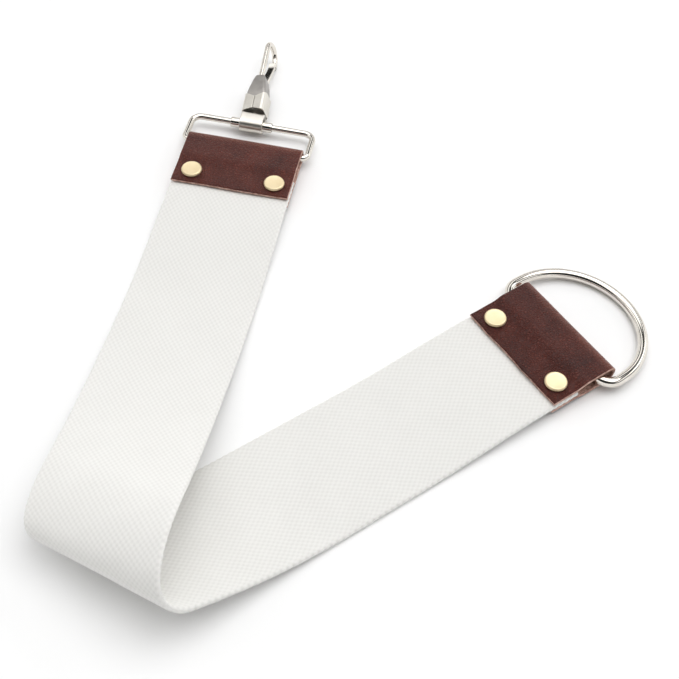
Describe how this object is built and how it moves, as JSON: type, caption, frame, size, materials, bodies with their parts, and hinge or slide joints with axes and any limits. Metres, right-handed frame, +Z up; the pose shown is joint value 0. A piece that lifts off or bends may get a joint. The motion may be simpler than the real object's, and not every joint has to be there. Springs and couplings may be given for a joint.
{
  "type": "webbing carrying strap with D-ring and swivel snap hook",
  "caption": "Flat white webbing strap with riveted leather end tabs, a D-ring on one end and a rectangular loop with a swivel snap hook on the other.",
  "frame": {"origin": "bottom centre of the whole strap's box as it lies on a table", "axes": "+Y along the upper run towards the hook, +Z up from the table, +X towards the D-ring's side"},
  "size_m": [0.202, 0.2802, 0.0358],
  "materials": {
    "webbing": "fine dense weave, matte, slightly warm white",
    "leather": "dark reddish brown, fine wrinkle grain, low sheen, pale raw edges",
    "rivet_brass": "polished pale brass plate",
    "bright_nickel": "polished nickel plate",
    "satin_nickel": "satin nickel plate",
    "spring_steel": "plain drawn spring wire"
  },
  "bodies": {
    "lower_run": {"webbing_lower_run": "webbing", "ring_end_tab": "leather", "ring_end_rivet_left_post": "rivet_brass", "ring_end_rivet_left_back_cap": "rivet_brass", "ring_end_rivet_right_post": "rivet_brass", "ring_end_rivet_right_back_cap": "rivet_brass"},
    "upper_run": {"webbing_upper_run": "webbing", "hook_end_tab": "leather", "hook_end_rivet_left_post": "rivet_brass", "hook_end_rivet_left_back_cap": "rivet_brass", "hook_end_rivet_right_post": "rivet_brass", "hook_end_rivet_right_back_cap": "rivet_brass"},
    "ring": {"d_ring": "bright_nickel"},
    "loop": {"wire_loop": "bright_nickel", "loop_sleeve": "bright_nickel"},
    "saddle": {"swivel_saddle": "satin_nickel"},
    "snap": {"swivel_pin": "satin_nickel", "snap_collar": "bright_nickel", "snap_body": "satin_nickel", "hook": "bright_nickel", "gate_pin": "satin_nickel", "gate_spring": "spring_steel"},
    "gate": {"gate": "bright_nickel"}
  },
  "joints": [
    {"name": "webbing_fold", "type": "hinge", "parent": "lower_run", "child": "upper_run", "pos_m": [-0.06837, -0.13108, 0.0185], "axis": [0.9268, -0.3245, 0.1889], "range_deg": [0, 120]},
    {"name": "ring_hinge", "type": "hinge", "parent": "lower_run", "child": "ring", "pos_m": [0.06538, 0.00432, 0.0044], "axis": [0.7547, -0.6561, 0], "range_deg": [-145, 150]},
    {"name": "loop_hinge", "type": "hinge", "parent": "upper_run", "child": "loop", "pos_m": [-0.0729, 0.07517, 0.0044], "axis": [1, 0, 0], "range_deg": [-110, 110]},
    {"name": "saddle_hinge", "type": "hinge", "parent": "loop", "child": "saddle", "pos_m": [-0.07379, 0.09027, 0.0044], "axis": [1, 0, 0], "range_deg": [-60, 60]},
    {"name": "hook_swivel", "type": "hinge", "parent": "saddle", "child": "snap", "pos_m": [-0.07379, 0.09453, 0.00495], "axis": [-0.0698, 0.9895, 0.1268], "continuous": true},
    {"name": "gate_hinge", "type": "hinge", "parent": "snap", "child": "gate", "pos_m": [-0.07445, 0.11113, 0.00522], "axis": [0.9636, 0.0339, 0.2653], "range_deg": [0, 14], "stiffness_Nm_per_rad": 0.03, "springref_deg": -28.65}
  ]
}
